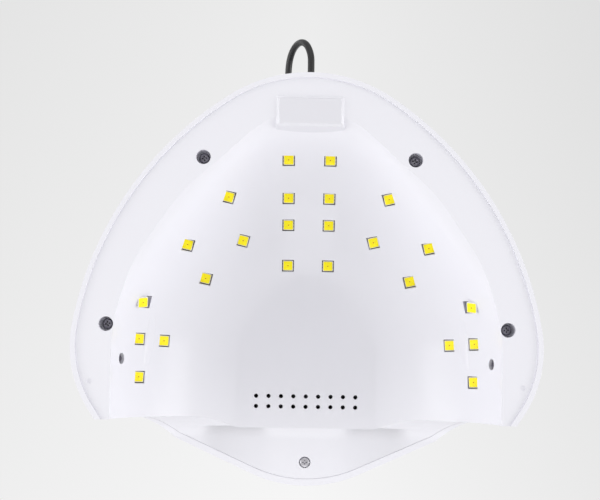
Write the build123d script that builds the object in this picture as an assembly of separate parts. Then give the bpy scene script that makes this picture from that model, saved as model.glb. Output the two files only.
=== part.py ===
from build123d import *
from math import asin, atan2, cos, degrees, exp, pi, radians, sin, sqrt, tan
import os

os.makedirs("parts", exist_ok=True)

# Housing: sizes that set the outer form
half_width = 112.8
rear_reach = 103.0
nose_reach = 120.0
housing_top = 93.0
dome_above_top = 7.0
dome_power = 2.4
dome_lean = 0.18
dome_levels = 8
shell_wall = 2.4
shoulder_x = 39.3
shoulder_fall = 11.7
waist_inset = 0.5
waist_y = -20.0
cheek_inset = 8.3
cheek_y = -59.0
jaw_inset = 26.8
jaw_y = -84.0
chin_x = 37.0
chin_fall = 9.5

# Hand opening at the front
opening_y = -64.2
opening_lean = 2.3
brow_above_ceiling = 0.4
brow_slope = 9.5
brow_radius = 14.0
front_run = 170.0

# Reflector and the hand space that it lines
side_flange = 19.2
rear_flange = 32.5
flange_z = 1.0
flange_thickness = 2.2
pip_inset = 9.3
pip_y = -46.9
pip_diameter = 2.4
pip_depth = 0.35
liner_thickness = 2.0
shell_gap = 0.2
ceiling_depth = 28.5
ceiling_height = housing_top - ceiling_depth
brow_height = ceiling_height + brow_above_ceiling
hand_crown = 5.4
straight_y = -33.0
hip_slope = 56.0
hip_flare = 20.0
flare_height = 6.0
hand_levels = 8
# Wall of the hand space from its rear apex to the hip: inset from the side, fall from the rear
apex_run = 20.0
apex_fall = 2.3
hand_wall = [(56.6, 13.2), (41.6, 30.5), (25.6, 50.7)]
hip_inset = 8.1
hip_length = 26.5
# How far the wall's points spread out towards the rim
rim_spread = [(0, 18), (0, 15), (6, 6), (11, 6), (9, 6), (4.2, 3.5)]

# Housing screws
rear_screw_x = 51.05
rear_screw_inset = 41.65
side_screw_inset = 16.6
side_screw_y = -19.5
nose_screw_y = -90.3
screw_head_diameter = 5.2
screw_head_height = 1.9
screw_shank_diameter = 2.9
screw_slot_length = 3.0
screw_slot_width = 0.7
screw_slot_depth = 1.0
screw_length = 12.0
nose_screw_length = 6.0
recess_diameter = 7.0
recess_top = 9.5
nose_recess_diameter = 6.0
nose_seat_depth = 1.5
seat_thickness = 2.0
seat_wall = 1.5
shank_play = 0.3
boss_diameter = 7.6
boss_bore_play = 0.1

# Air vents in the ceiling
vent_columns = 9
vent_rows = 2
vent_pitch_x = 6.45
vent_pitch_y = 5.33
vent_diameter = 2.2
vent_front_y = -61.2

# Hand sensors in the side walls
sensor_y = straight_y - 3.4
sensor_z = 18.0
sensor_diameter = 5.0
sensor_length = 8.6
sensor_hole_play = 0.3
sensor_rim = 5.9
sensor_rim_length = 1.0

# LED chips, their windows and boards
chip_size = 5.2
chip_height = 1.5
window_size = 6.2
board_thickness = 1.2
board_gap = 0.3
board_margin = 3.4
# The boards lie flatter than the wall, each on a seat that is moulded behind it
seat_skin = 1.2
seat_rim = 1.2
seat_depth = 12.0
board_play = 0.4
# Columns: inset from the rear and lean of the board in each row, rear row first
column_x = 10.4
column_rows = [(39.0, 16.0), (56.8, 12.0), (70.1, 10.0), (90.8, 7.0)]
# Middle groups: insets from the side and from the rear, outer row first
middle_rows = [[(72.4, 58.1), (52.3, 82.3)], [(79.1, 78.8), (60.3, 98.5)]]
middle_lean = 14.0
middle_turn = 14.0
# Side groups: inset from the side, and place behind the end of the straight wall
side_rows = [[(29.4, 25.0), (28.5, 6.2), (28.5, -12.8)], [(39.8, 5.2)]]
side_lean = 24.0
side_turn = 4.0

# Control panel on the top
button_y = -45.0
button_pitch = 15.0
button_diameter = 11.0
button_proud = 1.0
button_play = 0.2
button_travel = 0.5
button_lip = 1.1
button_lip_thickness = 0.9
button_lip_gap = 0.3
button_dish = 0.4
button_dish_radius = 40.0
button_post_diameter = 4.0
display_y = -30.0
window_length = 34.0
window_depth = 12.0
window_thickness = 1.2
window_ledge = 1.0
window_play = 0.15
display_height = 6.2
display_shrink = 1.2
control_board_size = (66.0, 36.0)
control_board_y = -38.0
control_board_depth = 11.0
control_board_z = housing_top - control_board_depth
pcb_thickness = 1.6
panel_post_diameter = 5.0
panel_post_inset = 3.5
switch_size = 6.0
switch_height = 3.4
stem_diameter = 3.4
stem_play = 0.15
stem_proud = 1.3
stem_depth = 1.2

# Driver board behind the ceiling
driver_board_size = (50.0, 40.0)
driver_board_y = -22.0
driver_standoff = 4.5
driver_post_diameter = 5.5
driver_post_inset = 4.0
can_diameter = 8.0
can_height = 8.5
can_columns = (-20.0, -10.0)
can_row = 12.0
choke_spot = (4.0, 10.0)
choke_size = 12.0
choke_height = 6.0
transistor_columns = (14.0, 21.0)
transistor_row = -2.0
transistor_size = (5.5, 6.5, 2.4)
tab_size = (5.0, 2.4, 0.8)
tab_offset = 4.0
controller_spot = (-6.0, -6.0)
controller_size = (10.0, 6.0, 1.8)
header_columns = (-20.0, -8.0, 4.0, 16.0)
header_row = -17.0
header_size = (9.0, 5.5, 6.0)
header_wall = 0.8

# Socket pocket at the rear and the box under it
pocket_width = 17.0
pocket_height = 17.0
pocket_z = 30.0
pocket_depth = 20.0
pocket_floor_y = rear_reach - pocket_depth
pocket_wall = 2.0
rear_box_half = 16.3
rear_box_inset = 11.5
rear_box_depth = 13.0
rear_box_z = 0.6
rear_box_top = 15.0
rear_box_foot = 8.0
rear_box_wall = 1.8
rear_box_draft = 1.2
rear_box_radius = 0.7

# Power socket and plug
socket_width = 9.0
socket_height = 11.0
socket_length = 12.4
nozzle_diameter = 8.4
nozzle_play = 0.1
socket_bore = 6.4
socket_bore_depth = 11.0
pin_diameter = 2.0
barrel_diameter = 5.5
barrel_bore = 2.5
barrel_length = 9.5
plug_diameter = 10.4
plug_length = 13.0
relief_length = 9.5
relief_start = 6.4
relief_end = 4.6

# Power lead
lead_diameter = 3.4
coil_inset = 100.0
coil_radius = 19.0
coil_width = 10.8
coil_height = 10.6
coil_rest_gap = 0.1
tie_width = 6.0
tie_thickness = 0.55
tie_play = 0.35
turn_pitch = 3.5
lead_clearance = 0.7
connector_clearance = 0.3
connector_heading = (-0.46, 0.89)
connector_diameter = 9.0
connector_length = 24.0
connector_relief = 8.0
connector_bore = 5.7


def closed_outline(right_half):
    edges = [curve.edge() for curve in right_half]
    return Wire([*edges, *[edge.mirror(Plane.YZ) for edge in reversed(edges)]])


# Plan outline of the housing, from the rear apex round the right side to the nose
def housing_outline(share):
    rear_apex = Vector(0, rear_reach) * share
    shoulder = Vector(shoulder_x, rear_reach - shoulder_fall) * share
    waist = Vector(half_width - waist_inset, waist_y) * share
    cheek = Vector(half_width - cheek_inset, cheek_y) * share
    jaw = Vector(half_width - jaw_inset, jaw_y) * share
    chin_side = Vector(chin_x, chin_fall - nose_reach) * share
    rear = TangentArc(rear_apex, shoulder, tangent=(1, 0))
    side = TangentArc(shoulder, waist, tangent=rear % 1)
    hip = TangentArc(waist, cheek, tangent=side % 1)
    corner = TangentArc(cheek, jaw, tangent=hip % 1)
    flank = Line(jaw, chin_side)
    chin = TangentArc(chin_side, Vector(0, -nose_reach) * share, tangent=flank % 1)
    return closed_outline([rear, side, hip, corner, flank, chin])


# Dome of the housing, drawn inwards by the inset all round
def dome(inset):
    top = housing_top - inset
    height = top + dome_above_top
    base = (half_width - inset) / half_width
    sections = []
    for level in range(dome_levels):
        z = top * sin(radians(90 * level / (dome_levels - 1)))
        share = base * sqrt(1 - (z / height) ** dome_power)
        sections.append(Pos(0, -dome_lean * z, z) * Face(housing_outline(share)))
    return loft(sections)


# Space in front of the hand opening, under the brow
def front_cut(grow):
    lean_at_brow = opening_y - opening_lean
    brow_end = brow_height + front_run * tan(radians(brow_slope))
    corner = (lean_at_brow, brow_height)
    far_y = lean_at_brow - front_run
    profile = Polygon((opening_y, -40), corner, (far_y, brow_end), (far_y, -40), align=None)
    brow = profile.vertices().sort_by_distance((lean_at_brow, brow_height, 0))[0]
    profile = offset(fillet(brow, brow_radius), grow, kind=Kind.INTERSECTION)
    return extrude(Plane.YZ * profile, amount=half_width + 20, both=True)


# Plan outline of the hand space; flare runs from 0 on the wall to 1 at the rim
def hand_outline(share, flare):
    hand_half = half_width - side_flange
    rear_y = rear_reach - rear_flange
    wall = [(0, rear_y), (apex_run, rear_y - apex_fall)]
    wall += [(hand_half - inset, rear_y - fall) for inset, fall in hand_wall]
    wall.append((hand_half - hip_inset, straight_y + hip_length))
    points = []
    for (x, y), (flare_x, flare_y) in zip(wall, rim_spread):
        x += flare_x * flare
        y += flare_y * flare
        points.append(Vector(x * share, straight_y + (y - straight_y) * share))
    slope = radians(hip_slope + hip_flare * flare)
    rear = Spline(*points, tangents=[(1, 0), (cos(slope), -sin(slope))])
    hip = TangentArc(rear @ 1, (hand_half * share, straight_y), tangent=rear % 1)
    side = Line(hip @ 1, (hand_half * share, opening_y - front_run))
    front = Line(side @ 1, (0, opening_y - front_run))
    return closed_outline([rear, hip, side, front])


# Hand space under the reflector, grown outwards to give the reflector's back
def hand_space(grow):
    base = (half_width - side_flange + grow) / (half_width - side_flange)
    rise = (ceiling_height + grow) / ceiling_height
    hand_height = ceiling_height + hand_crown
    ceiling_angle = asin(ceiling_height / hand_height)
    sections = []
    for level in range(hand_levels):
        angle = ceiling_angle * level / (hand_levels - 1)
        z = hand_height * sin(angle)
        flare = exp(-z / flare_height)
        sections.append(Pos(0, 0, z * rise) * Face(hand_outline(base * cos(angle), flare)))
    return loft(sections)


outer_form = dome(0)
inner_form = dome(shell_wall)
liner_form = dome(shell_wall + shell_gap)
opening = front_cut(0)
hand_form = hand_space(0)


def upright(x, y, low, high, diameter):
    height = high - low
    return Pos(x, y, low + height / 2) * Cylinder(diameter / 2, height)


def block(x, y, z):
    size = (x[1] - x[0], y[1] - y[0], z[1] - z[0])
    centre = ((x[0] + x[1]) / 2, (y[0] + y[1]) / 2, (z[0] + z[1]) / 2)
    return Pos(*centre) * Box(*size)


rear_screw_y = rear_reach - rear_screw_inset
side_screw_x = half_width - side_screw_inset
screw_spots = [(side * rear_screw_x, rear_screw_y) for side in (1, -1)]
screw_spots += [(side * side_screw_x, side_screw_y) for side in (1, -1)]
brow_run = opening_y - opening_lean - nose_screw_y
nose_seat_z = brow_height + brow_run * tan(radians(brow_slope)) + nose_seat_depth
seats = [(x, y, recess_top, recess_diameter, screw_length) for x, y in screw_spots]
seats.append((0, nose_screw_y, nose_seat_z, nose_recess_diameter, nose_screw_length))


# Outer shell, with its screw bosses, socket pocket and control panel openings
def make_outer_shell():
    shell = outer_form - inner_form
    bosses = []
    for x, y, seat_z, _, _ in seats:
        bosses.append(upright(x, y, seat_z + seat_thickness, housing_top, boss_diameter))
    shell += (Compound(bosses) & outer_form) - hand_space(liner_thickness + shell_gap)
    half = pocket_width / 2 + pocket_wall
    rise = pocket_height / 2 + pocket_wall
    pocket_front = pocket_floor_y - pocket_wall
    pocket = block((-half, half), (pocket_front, rear_reach), (pocket_z - rise, pocket_z + rise))
    shell += pocket & outer_form
    for x, y in panel_posts():
        post_foot = control_board_z + pcb_thickness
        shell += upright(x, y, post_foot, housing_top - shell_wall / 2, panel_post_diameter)
    shell -= opening
    for x, y, seat_z, _, length in seats:
        bore_top = seat_z + length + 1
        shell -= upright(x, y, seat_z, bore_top, screw_shank_diameter + 2 * boss_bore_play)
    half = pocket_width / 2
    rise = pocket_height / 2
    shell -= block((-half, half), (pocket_floor_y, rear_reach + 1), (pocket_z - rise, pocket_z + rise))
    nozzle = Cylinder(nozzle_diameter / 2 + nozzle_play, 2 * pocket_wall + 1)
    shell -= Pos(0, pocket_floor_y, pocket_z) * Rot(90, 0, 0) * nozzle
    hole_low = housing_top - 2 * shell_wall
    for x in button_columns():
        shell -= upright(x, button_y, hole_low, housing_top + 1, button_diameter + 2 * button_play)
    length = window_length + 2 * window_play
    depth = window_depth + 2 * window_play
    seat_low = housing_top - window_thickness
    shell -= Pos(0, display_y, seat_low + 1) * Box(length, depth, 2)
    through = (window_length - 2 * window_ledge, window_depth - 2 * window_ledge)
    shell -= Pos(0, display_y, housing_top - shell_wall) * Box(*through, 2 * shell_wall)
    return shell


def panel_posts():
    half_x = control_board_size[0] / 2 - panel_post_inset
    half_y = control_board_size[1] / 2 - panel_post_inset
    return [(i * half_x, control_board_y + j * half_y) for i in (-1, 1) for j in (-1, 1)]


def button_columns():
    return [(i - 1.5) * button_pitch for i in range(4)]


def driver_posts():
    half_x = driver_board_size[0] / 2 - driver_post_inset
    half_y = driver_board_size[1] / 2 - driver_post_inset
    return [(i * half_x, driver_board_y + j * half_y) for i in (-1, 1) for j in (-1, 1)]


# Box that stands out of the rear rim, hollow from above, with drafted sides and a sloping front
def make_rear_box():
    def drafted(wall, low):
        back = rear_reach - rear_box_inset - wall
        front = rear_reach - rear_box_inset - rear_box_depth + wall
        half = rear_box_half - wall
        face = Rectangle(2 * half, back - front).face()
        foot = Rectangle(2 * (half + rear_box_draft), back - front + rear_box_foot).face()
        middle = (back + front) / 2
        return loft([Pos(0, middle, low) * face, Pos(0, middle - rear_box_foot / 2, rear_box_top) * foot])

    outside = drafted(0, rear_box_z)
    outside = fillet(outside.edges().group_by(Axis.Z)[0], rear_box_radius)
    return outside - drafted(rear_box_wall, rear_box_z + rear_box_wall)


# Reflector: lining of the hand space, rim flange and brow in one moulding
def make_reflector(seats_behind, pockets, windows):
    flange_top = flange_z + flange_thickness
    plate = block((-half_width, half_width), (-nose_reach, rear_reach), (flange_z, flange_top))
    skin = hand_space(liner_thickness) + front_cut(liner_thickness) + plate
    below = block((-half_width, half_width), (-nose_reach, rear_reach), (-5, flange_z))
    liner = (skin & liner_form) - below - hand_form - opening
    liner += make_rear_box() - hand_form
    liner += (Compound(seats_behind) & liner_form) - hand_form
    for x, y, seat_z, bore, _ in seats:
        outer = bore + 2 * seat_wall
        low = flange_z if seat_z == recess_top else seat_z - seat_thickness
        collar = upright(x, y, low, seat_z + seat_thickness, outer) - hand_form - opening
        liner += collar & liner_form
        liner -= upright(x, y, -1, seat_z, bore)
        liner -= upright(x, y, seat_z - 1, seat_z + 3, screw_shank_diameter + 2 * shank_play)
    ceiling_back = ceiling_height + liner_thickness
    for x, y in driver_posts():
        liner += upright(x, y, ceiling_back - 1, ceiling_back + driver_standoff, driver_post_diameter)
    for column in range(vent_columns):
        for row in range(vent_rows):
            x = (column - (vent_columns - 1) / 2) * vent_pitch_x
            y = vent_front_y + row * vent_pitch_y
            liner -= upright(x, y, ceiling_height - 8, ceiling_back + 2, vent_diameter)
    for side in (-1, 1):
        liner -= sensor_axis(side) * Cylinder(sensor_diameter / 2 + sensor_hole_play, 16)
        liner -= upright(side * (half_width - pip_inset), pip_y, -1, flange_z + pip_depth, pip_diameter)
    for cut in pockets + windows:
        liner -= cut
    return liner


# Point on the reflector's face above a place in plan, with the way out of the hand space
def wall_above(x, y):
    hits = hand_form.find_intersection_points(Axis((x, y, 5), (0, 0, 1)))
    point, normal = hits[-1]
    return point, normal if normal.Z > 0 else normal * -1


def column_row(inset, lean):
    return [(x, rear_reach - inset) for x in (-column_x, column_x)], lean


def middle_group(side):
    return [([(side * (half_width - across), rear_reach - down) for across, down in row], middle_lean)
            for row in middle_rows]


def side_group(side):
    return [([(side * (half_width - across), straight_y + behind) for across, behind in row], side_lean)
            for row in side_rows]


# Face of the board that carries a row of chips: along the wall's level line, leaning less than the wall does
def board_plane(spots, lean):
    centre_x = sum(x for x, y in spots) / len(spots)
    centre_y = sum(y for x, y in spots) / len(spots)
    point, outward = wall_above(centre_x, centre_y)
    away = Vector(outward.X, outward.Y, 0).normalized()
    up = away * sin(radians(lean)) + Vector(0, 0, cos(radians(lean)))
    along = Vector(-away.Y, away.X, 0)
    reach = 0
    for x, y in spots:
        for i, j in ((-1, -1), (-1, 1), (1, -1), (1, 1)):
            corner = Vector(x, y, 0) + along * i * board_margin + away * j * board_margin
            beside, _ = wall_above(corner.X, corner.Y)
            reach = max(reach, (beside - point).dot(up))
    return Plane(origin=point + up * (reach + seat_skin), x_dir=along, z_dir=up)


# One group: boards and chips, and the seats, pockets and windows that the reflector has for them
def make_led_group(rows, turn=0.0):
    boards, chips, seats_behind, pockets, windows = [], [], [], [], []
    for spots, lean in rows:
        plane = board_plane(spots, lean)
        up = plane.z_dir
        places = []
        for x, y in spots:
            offset_x = x - plane.origin.X
            offset_y = y - plane.origin.Y
            z = plane.origin.Z - (offset_x * up.X + offset_y * up.Y) / up.Z
            places.append(plane.to_local_coords(Vector(x, y, z)))
        wide = (min(place.X for place in places) - board_margin, max(place.X for place in places) + board_margin)
        deep = (min(place.Y for place in places) - board_margin, max(place.Y for place in places) + board_margin)
        boards.append(plane * block(wide, deep, (0, board_thickness)))
        spread = lambda sides, by: (sides[0] - by, sides[1] + by)
        seat = block(spread(wide, seat_rim), spread(deep, seat_rim), (-seat_depth, -board_gap))
        seats_behind.append(plane * seat)
        pockets.append(plane * block(spread(wide, board_play), spread(deep, board_play), (-board_gap, 8)))
        across = plane.to_local_coords(plane.origin + Vector(cos(radians(turn)), sin(radians(turn)), 0))
        twist = degrees(atan2(across.Y, across.X))
        for place in places:
            spot = Pos(place.X, place.Y, 0) * Rot(0, 0, twist)
            chips.append(plane * (spot * Pos(0, 0, -chip_height / 2) * Box(chip_size, chip_size, chip_height)))
            windows.append(plane * (spot * Pos(0, 0, 1 - seat_depth / 2) * Box(window_size, window_size, seat_depth)))
    return Compound(boards), Compound(chips), seats_behind, pockets, windows


# Self-tapping screw with a pan head and a cross recess, drawn head down
def make_screw(x, y, seat_z, length):
    head = upright(0, 0, -screw_head_height, 0, screw_head_diameter)
    head = fillet(head.edges().sort_by(Axis.Z)[0], 0.7)
    slot = Pos(0, 0, -screw_head_height) * Box(screw_slot_length, screw_slot_width, 2 * screw_slot_depth)
    shank = upright(0, 0, 0, length - 2, screw_shank_diameter)
    tip = Pos(0, 0, length - 1) * Cone(screw_shank_diameter / 2, 0.5, 2)
    return Pos(x, y, seat_z) * (head + shank + tip - slot - Rot(0, 0, 90) * slot)


# Frame of a hand sensor: +Z runs from behind the wall into the hand space
def sensor_axis(side):
    hits = hand_form.find_intersection_points(Axis((0, sensor_y, sensor_z), (side, 0, 0)))
    point, normal = hits[-1]
    outward = normal if normal.X * side > 0 else normal * -1
    return Plane(origin=point, x_dir=(0, 1, 0), z_dir=-outward).location


# Hand sensor: a round-nosed case with a rim at its back
def make_sensor(side):
    radius = sensor_diameter / 2
    body = Pos(0, 0, -sensor_length / 2 - 0.4) * Cylinder(radius, sensor_length)
    body = fillet(body.edges().sort_by(Axis.Z)[-1], radius - 0.3)
    rim_z = -liner_thickness - 0.6 - sensor_rim_length / 2
    rim = Pos(0, 0, rim_z) * Cylinder(sensor_rim / 2, sensor_rim_length)
    return sensor_axis(side) * (body + rim)


# Button with a dished face, a lip under the panel and a post down to its switch
def make_button(x):
    top = housing_top + button_proud
    lip_top = housing_top - shell_wall - button_lip_gap
    cap = upright(x, button_y, lip_top, top, button_diameter)
    cap = fillet(cap.edges().sort_by(Axis.Z)[-1], 0.5)
    cap -= Pos(x, button_y, top + button_dish_radius - button_dish) * Sphere(button_dish_radius)
    lip = upright(x, button_y, lip_top - button_lip_thickness, lip_top, button_diameter + 2 * button_lip)
    stem_top = control_board_z + pcb_thickness + switch_height + stem_proud
    post = upright(x, button_y, stem_top, lip_top, button_post_diameter)
    return cap + lip + post


# Stem of a push switch; it slides down into the switch body with its button
def make_stem(x):
    body_top = control_board_z + pcb_thickness + switch_height
    return upright(x, button_y, body_top - stem_depth, body_top + stem_proud, stem_diameter)


def make_switches():
    low = control_board_z + pcb_thickness
    top = low + switch_height
    well = stem_depth + button_travel + 0.2
    bodies = []
    for x in button_columns():
        body = Pos(x, button_y, low + switch_height / 2) * Box(switch_size, switch_size, switch_height)
        body = chamfer(body.edges().filter_by(Axis.Z), 0.4)
        body -= upright(x, button_y, top - well, top + 1, stem_diameter + 2 * stem_play)
        bodies.append(body)
    return Compound(bodies)


def make_display_window():
    middle = housing_top - window_thickness / 2
    plate = Pos(0, display_y, middle) * Box(window_length, window_depth, window_thickness)
    return chamfer(plate.edges().sort_by(Axis.Z)[-4:], 0.2)


def make_display_module():
    half_x = window_length / 2 - window_ledge - display_shrink
    half_y = window_depth / 2 - window_ledge - display_shrink / 2
    low = control_board_z + pcb_thickness
    body = block((-half_x, half_x), (display_y - half_y, display_y + half_y), (low, low + display_height))
    digits = []
    for x in (-half_x / 2, half_x / 2):
        digits.append(Pos(x, display_y, low + display_height) * Box(half_x * 0.75, half_y * 1.5, 0.4))
    return body - digits


def make_control_board():
    middle = control_board_z + pcb_thickness / 2
    board = Pos(0, control_board_y, middle) * Box(*control_board_size, pcb_thickness)
    return fillet(board.edges().filter_by(Axis.Z), 2.0)


def make_driver_board():
    low = ceiling_height + liner_thickness + driver_standoff
    board = Pos(0, driver_board_y, low + pcb_thickness / 2) * Box(*driver_board_size, pcb_thickness)
    return fillet(board.edges().filter_by(Axis.Z), 2.0)


# What the driver board carries: capacitors, coil, switches and wire connectors
def make_driver_parts():
    low = ceiling_height + liner_thickness + driver_standoff + pcb_thickness
    parts = []
    for x in can_columns:
        can = upright(x, driver_board_y + can_row, low, low + can_height, can_diameter)
        parts.append(fillet(can.edges().sort_by(Axis.Z)[-1], 0.6))
    choke_centre = (choke_spot[0], driver_board_y + choke_spot[1], low + choke_height / 2)
    choke = Pos(*choke_centre) * Box(choke_size, choke_size, choke_height)
    parts.append(fillet(choke.edges().filter_by(Axis.Z), choke_size / 4))
    for x in transistor_columns:
        y = driver_board_y + transistor_row
        body = Pos(x, y, low + transistor_size[2] / 2) * Box(*transistor_size)
        tab = Pos(x, y - tab_offset, low + tab_size[2] / 2) * Box(*tab_size)
        parts.append(body + tab)
    controller_x, controller_y = controller_spot
    controller_z = low + controller_size[2] / 2
    controller = Pos(controller_x, driver_board_y + controller_y, controller_z) * Box(*controller_size)
    parts.append(chamfer(controller.edges().sort_by(Axis.Z)[-4:], 0.4))
    for x in header_columns:
        place = Pos(x, driver_board_y + header_row, low + header_size[2] / 2)
        well = (header_size[0] - 2 * header_wall, header_size[1] - 2 * header_wall, header_size[2])
        parts.append(place * (Box(*header_size) - Pos(0, 0, header_wall) * Box(*well)))
    return Compound(parts)


def along_y(y0, y1, radius0, radius1):
    length = y1 - y0
    if radius0 == radius1:
        form = Cylinder(radius0, length)
    else:
        form = Cone(radius0, radius1, length)
    return Pos(0, (y0 + y1) / 2, pocket_z) * Rot(-90, 0, 0) * form


# Power socket behind the pocket floor, with its nozzle and centre pin
def make_socket():
    back = pocket_floor_y - pocket_wall
    front = back - socket_length
    half = socket_width / 2
    body = block((-half, half), (front, back), (pocket_z - socket_height / 2, pocket_z + socket_height / 2))
    body = fillet(body.edges().filter_by(Axis.Y), 1.0)
    body += along_y(back, pocket_floor_y, nozzle_diameter / 2, nozzle_diameter / 2)
    bore_end = pocket_floor_y - socket_bore_depth
    body -= along_y(bore_end, pocket_floor_y + 1, socket_bore / 2, socket_bore / 2)
    return body + along_y(bore_end - 0.5, pocket_floor_y - 2, pin_diameter / 2, pin_diameter / 2)


# Barrel of the power plug
def make_plug_barrel():
    tip = pocket_floor_y - barrel_length
    tube = along_y(tip, pocket_floor_y, barrel_diameter / 2, barrel_diameter / 2)
    return tube - along_y(tip - 1, pocket_floor_y - 1, barrel_bore / 2, barrel_bore / 2)


# Grip of a plug with a ribbed strain relief, drawn along +Z from its face
def make_grip(diameter, length, relief):
    grip = Pos(0, 0, length / 2) * Cylinder(diameter / 2, length)
    grip = chamfer(grip.edges().sort_by(Axis.Z)[-1], 1.4)
    grip = fillet(grip.edges().sort_by(Axis.Z)[0], 0.5)
    for side in (-1, 1):
        grip -= Pos(side * (diameter / 2 + 0.6), 0, length / 2) * Box(2.2, diameter, length * 0.55)
    neck = Pos(0, 0, length + relief / 2) * Cone(relief_start / 2, relief_end / 2, relief)
    grip += neck
    rings = 3
    for ring in range(rings):
        z = length + relief * (ring + 0.5) / rings
        grip -= Pos(0, 0, z) * (Cylinder(relief_start / 2, 0.8) - Cylinder(lead_diameter / 2 + 0.25, 0.8))
    return grip


def make_plug():
    grip = make_grip(plug_diameter, plug_length, relief_length)
    return Pos(0, pocket_floor_y, pocket_z) * Rot(-90, 0, 0) * grip


# Tube of the lead: straight runs joined by arcs as large as the runs allow
def make_tube(route):
    runs = [b - a for a, b in zip(route, route[1:])]
    radii = []
    for before, after in zip(runs, runs[1:]):
        turn = before.get_angle(after)
        radii.append(0.45 * min(before.length, after.length) / tan(radians(turn / 2)))
    path = FilletPolyline(*route, radius=radii)
    section = Plane(origin=path @ 0, z_dir=path % 0) * Circle(lead_diameter / 2)
    tube = sweep(section, path=path)
    print("bend radii in diameters:", [round(radius / lead_diameter, 1) for radius in radii])
    straight_volume = pi * lead_diameter ** 2 / 4 * path.length
    print("tube volume over section times length:", round(tube.volume / straight_volume, 4))
    return tube


plug_end_y = pocket_floor_y + plug_length + relief_length
coil_z = housing_top + coil_rest_gap + tie_thickness + tie_play + coil_height / 2
coil_centre = (0.0, rear_reach - coil_inset)


# Point above the dome at a place in plan, with the way out of the surface
def on_dome(x, inset, stand_off):
    hits = outer_form.find_intersection_points(Axis((x, rear_reach - inset, 5), (0, 0, 1)))
    point, normal = hits[-1]
    outward = normal if normal.Z > 0 else normal * -1
    return point + outward * stand_off, outward


# The lead: a loop behind the rear, from the plug's end, then up over the dome to the coil
loop_points = [
    (0.0, 0.0, 0.0),
    (0.0, 5.7, -0.1),
    (0.1, 11.5, 0.3),
    (2.3, 17.6, 3.9),
    (5.7, 19.9, 10.0),
    (9.2, 17.6, 16.1),
    (11.4, 11.5, 19.6),
    (11.8, 2.7, 20.5),
    (11.9, -6.2, 21.7),
    (11.9, -15.8, 24.1),
]
climb_points = [(12.0, 26.5), (12.6, 36.0), (14.4, 46.6), (16.8, 58.0), (19.4, 69.5), (21.6, 80.2)]
lead_rest = lead_diameter / 2 + lead_clearance
lead_route = [Vector(x, plug_end_y + y, pocket_z + z) for x, y, z in loop_points]
lead_route += [on_dome(x, inset, lead_rest)[0] for x, inset in climb_points]
lead_route.append(Vector(22.6, coil_centre[1] + 9.4, coil_z - turn_pitch))

# The coupler lies on the dome, and the tail runs down to it from the coil
coupler_spot = (-38.5, 47.5)
coupler_reach = connector_length + connector_relief
coupler_middle, coupler_normal = on_dome(*coupler_spot, connector_diameter / 2 + connector_clearance)
heading = Vector(*connector_heading, 0)
heading = (heading - coupler_normal * heading.dot(coupler_normal)).normalized()
coupler_end = coupler_middle - heading * coupler_reach / 2
tail_route = [
    Vector(-22.6, coil_centre[1] + 9.0, coil_z),
    Vector(-22.8, coil_centre[1] + 16.2, coil_z - 0.9),
    Vector(-24.6, coil_centre[1] + 23.6, coil_z - 3.0),
    on_dome(-29.4, 69.0, 7.0)[0],
    coupler_end - heading * 5.0,
    coupler_end,
]
for name, route in (("lead", lead_route), ("tail", tail_route)):
    print(name, [tuple(round(value, 1) for value in point) for point in route])


# Outer form of the coiled lead
def make_coil():
    profile = RectangleRounded(coil_width, coil_height, 2.4)
    ring = revolve(Plane.XZ * Pos(coil_radius, 0) * profile, Axis.Z)
    return Pos(*coil_centre, coil_z) * ring


# Twist tie round the coil at its left side
def make_tie():
    inner = (coil_width + 2 * tie_play, coil_height + 2 * tie_play)
    band = Box(inner[0] + 2 * tie_thickness, tie_width, inner[1] + 2 * tie_thickness)
    band = fillet(band.edges().filter_by(Axis.Y), 2.0)
    band -= Box(inner[0], tie_width + 1, inner[1])
    place = Pos(*coil_centre, coil_z) * Rot(0, 0, 215) * Pos(coil_radius, 0, 0)
    return place * band


# Coupler at the far end of the lead
def make_connector():
    grip = make_grip(connector_diameter, connector_length, connector_relief)
    grip -= Pos(0, 0, 4) * Cylinder(connector_bore / 2, 9)
    grip += Pos(0, 0, 5) * Cylinder(pin_diameter / 2, 8)
    face = coupler_middle + heading * coupler_reach / 2
    return Plane(origin=face, z_dir=-heading).location * grip


solids = {}
led_seats = []
led_pockets = []
led_windows = []
led_sets = {
    "rear": ([column_row(*column_rows[0])], 0.0),
    "upper": ([column_row(*column_rows[1]), column_row(*column_rows[2])], 0.0),
    "front": ([column_row(*column_rows[3])], 0.0),
    "middle_right": (middle_group(1), middle_turn),
    "middle_left": (middle_group(-1), -middle_turn),
    "side_right": (side_group(1), side_turn),
    "side_left": (side_group(-1), -side_turn),
}
for name, (rows, turn) in led_sets.items():
    board, chips, seats_behind, pockets, windows = make_led_group(rows, turn)
    solids[f"led_board_{name}"] = board
    solids[f"led_chips_{name}"] = chips
    led_seats += seats_behind
    led_pockets += pockets
    led_windows += windows

solids["outer_shell"] = make_outer_shell()
solids["reflector"] = make_reflector(led_seats, led_pockets, led_windows)
solids["housing_screws"] = Compound([make_screw(x, y, z, length) for x, y, z, _, length in seats])
solids["hand_sensor_emitter"] = make_sensor(1)
solids["hand_sensor_receiver"] = make_sensor(-1)
for seconds, x in zip((10, 30, 60, 99), button_columns()):
    solids[f"button_{seconds}s"] = make_button(x)
    solids[f"switch_stem_{seconds}s"] = make_stem(x)
solids["push_switches"] = make_switches()
solids["display_window"] = make_display_window()
solids["display_module"] = make_display_module()
solids["control_board"] = make_control_board()
solids["driver_board"] = make_driver_board()
solids["driver_parts"] = make_driver_parts()
solids["dc_socket"] = make_socket()
solids["plug_barrel"] = make_plug_barrel()
solids["dc_plug"] = make_plug()
solids["dc_lead"] = make_tube(lead_route)
solids["lead_tail"] = make_tube(tail_route)
solids["lead_coil"] = make_coil()
solids["coil_tie"] = make_tie()
solids["end_connector"] = make_connector()

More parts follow.
